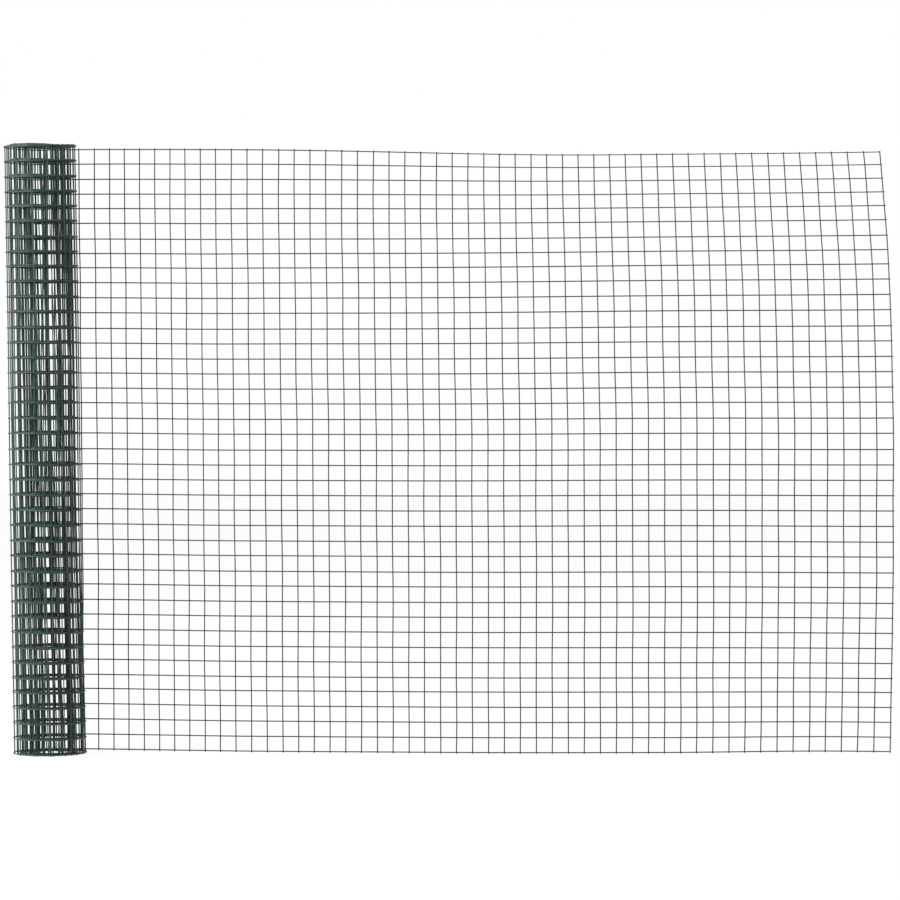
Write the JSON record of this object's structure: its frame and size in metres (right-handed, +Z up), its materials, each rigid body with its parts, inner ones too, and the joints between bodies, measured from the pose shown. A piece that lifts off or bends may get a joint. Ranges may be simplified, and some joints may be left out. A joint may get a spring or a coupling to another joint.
{
  "type": "roll of wire fencing",
  "caption": "Roll of dark green coated welded wire mesh, standing on its end with a loose run pulled off it.",
  "frame": {"origin": "on the roll's axis, at the floor that its lower end stands on", "axes": "+X away from the roll on the side of the loose run; +Z up along the roll's axis; -Y the side that shows the roll in front of the run"},
  "size_m": [1.4581, 0.1313, 1.0039],
  "materials": {
    "coated_wire": "satin"
  },
  "bodies": {
    "root": {"roll": "coated_wire", "run_length_1": "coated_wire", "run_length_2": "coated_wire", "run_length_3": "coated_wire", "run_length_4": "coated_wire", "run_length_5": "coated_wire", "run_length_6": "coated_wire"}
  },
  "joints": []
}
